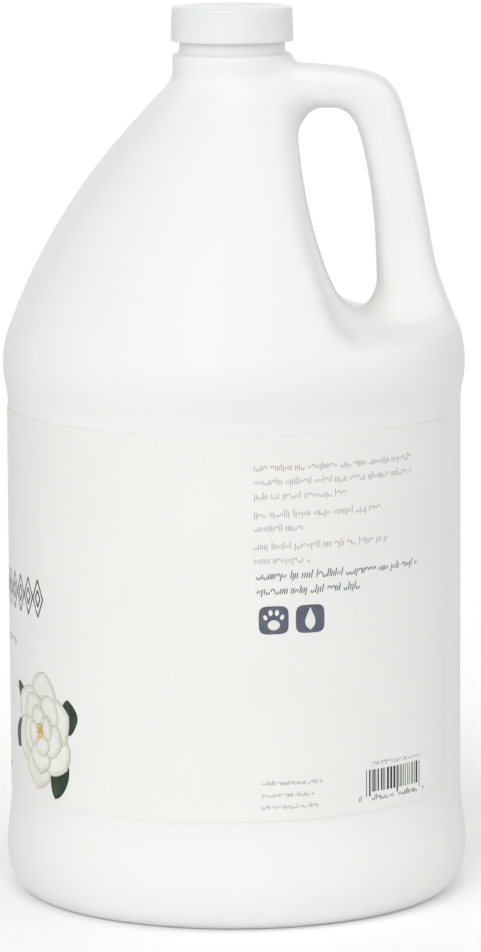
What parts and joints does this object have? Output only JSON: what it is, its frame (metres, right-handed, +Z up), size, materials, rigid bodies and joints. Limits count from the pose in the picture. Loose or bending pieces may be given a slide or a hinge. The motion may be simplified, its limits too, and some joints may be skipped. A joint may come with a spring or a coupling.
{
  "type": "shampoo bottle",
  "caption": "Round white plastic shampoo jug with a hollow through handle, a smooth screw cap, a foil-sealed mouth and a wrap-round label.",
  "frame": {"origin": "centre of the standing plane, on the bottle's axis", "axes": "+Z up along the bottle's axis, +X from the axis towards the handle, -X towards the middle of the label"},
  "size_m": [0.155, 0.155, 0.2965],
  "materials": {
    "bottle_plastic": "blow-moulded white polyethylene with a soft sheen",
    "cap_plastic": "smooth moulded white plastic",
    "liner_board": "waxed pulp board",
    "seal_foil": "thin foil, dull bright",
    "label_film": "off-white label stock with a satin print varnish",
    "shampoo_liquid": "pearly liquid"
  },
  "bodies": {
    "bottle": {"bottle": "bottle_plastic", "wrap_label": "label_film", "foil_seal": "seal_foil", "shampoo": "shampoo_liquid"},
    "liner": {"cap_liner": "liner_board"},
    "cap": {"screw_cap": "cap_plastic"}
  },
  "joints": [
    {"name": "cap_lift", "type": "slide", "parent": "bottle", "child": "liner", "axis": [0, 0, 1], "range_m": [0, 0.0128]},
    {"name": "cap_turn", "type": "hinge", "parent": "liner", "child": "cap", "pos_m": [0, 0, 0.2907], "axis": [0, 0, 1], "range_deg": [0, 1080]}
  ],
  "couplings": [
    {"joint": "cap_lift", "follows": "cap_turn", "m_per_rad": 0.00067376}
  ]
}
